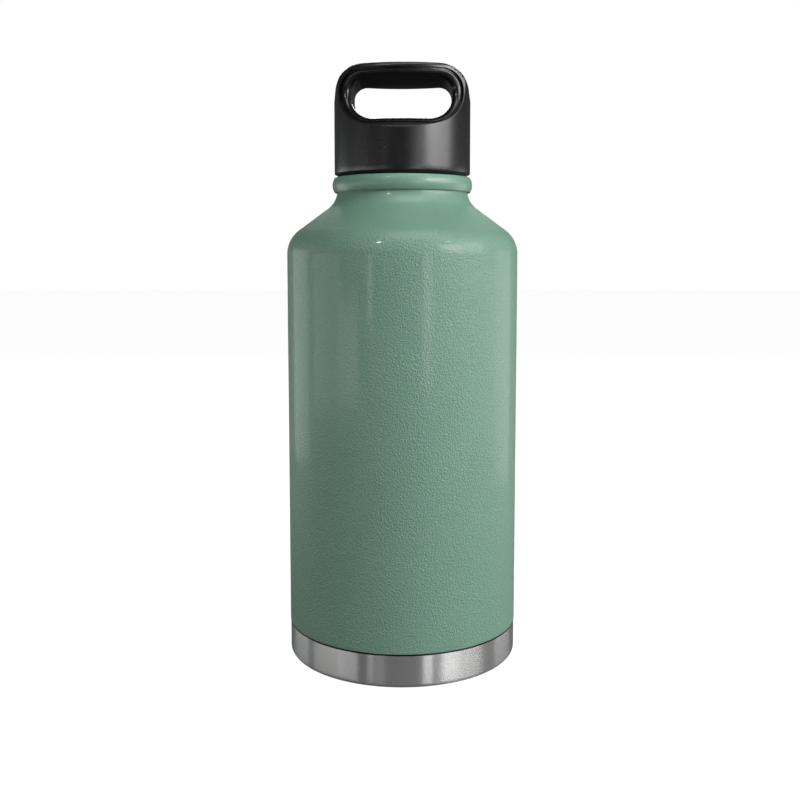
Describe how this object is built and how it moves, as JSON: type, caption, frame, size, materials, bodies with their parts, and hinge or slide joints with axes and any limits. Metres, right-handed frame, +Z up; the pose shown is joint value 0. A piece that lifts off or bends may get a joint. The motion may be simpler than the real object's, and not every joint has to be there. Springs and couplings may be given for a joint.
{
  "type": "growler",
  "caption": "Double-wall steel growler with a coated body, a bare steel base band and a black screw lid whose handle has a finger slot through it.",
  "frame": {"origin": "centre of the foot, on the surface that the growler stands on", "axes": "+Z up along the bottle's and the lid's axis; the lid's finger slot runs along Y, and the front faces -Y"},
  "size_m": [0.116, 0.116, 0.2949],
  "materials": {
    "green_coat": "pebbled sage-green powder coat, semi-gloss",
    "base_steel": "brushed round the axis",
    "inner_steel": "electropolished satin",
    "mouth_steel": "turned and polished",
    "foil": "bright copper foil",
    "getter": "matte sintered metal",
    "seal_solder": "dull solder",
    "lid_plastic": "black moulded, fine satin texture",
    "liner_plastic": "black moulded, smoother satin",
    "core_plastic": "black moulded",
    "foam": "closed-cell foam",
    "silicone": "soft matte silicone"
  },
  "bodies": {
    "bottle": {"outer_shell": "green_coat", "base_cup": "base_steel", "vacuum_bottom": "inner_steel", "vacuum_seal": "seal_solder", "getter_holder": "inner_steel", "getter_pellet": "getter", "inner_vessel": "inner_steel", "inner_shoulder": "inner_steel", "inner_bottom": "inner_steel", "radiation_foil": "foil", "neck_finish": "mouth_steel"},
    "lid_lifter": {"lid_gasket": "silicone"},
    "lid": {"lid_shell": "lid_plastic", "slot_liner": "liner_plastic", "lid_core": "core_plastic", "lid_foam": "foam", "lid_plate": "inner_steel"}
  },
  "joints": [
    {"name": "lid_lift", "type": "slide", "parent": "bottle", "child": "lid_lifter", "axis": [0, 0, 1], "range_m": [0, 0.0201]},
    {"name": "lid_turn", "type": "hinge", "parent": "lid_lifter", "child": "lid", "pos_m": [0, 0, 0.25], "axis": [0, 0, 1], "range_deg": [0, 900]}
  ],
  "couplings": [
    {"joint": "lid_lift", "follows": "lid_turn", "m_per_rad": 0.0012732}
  ]
}
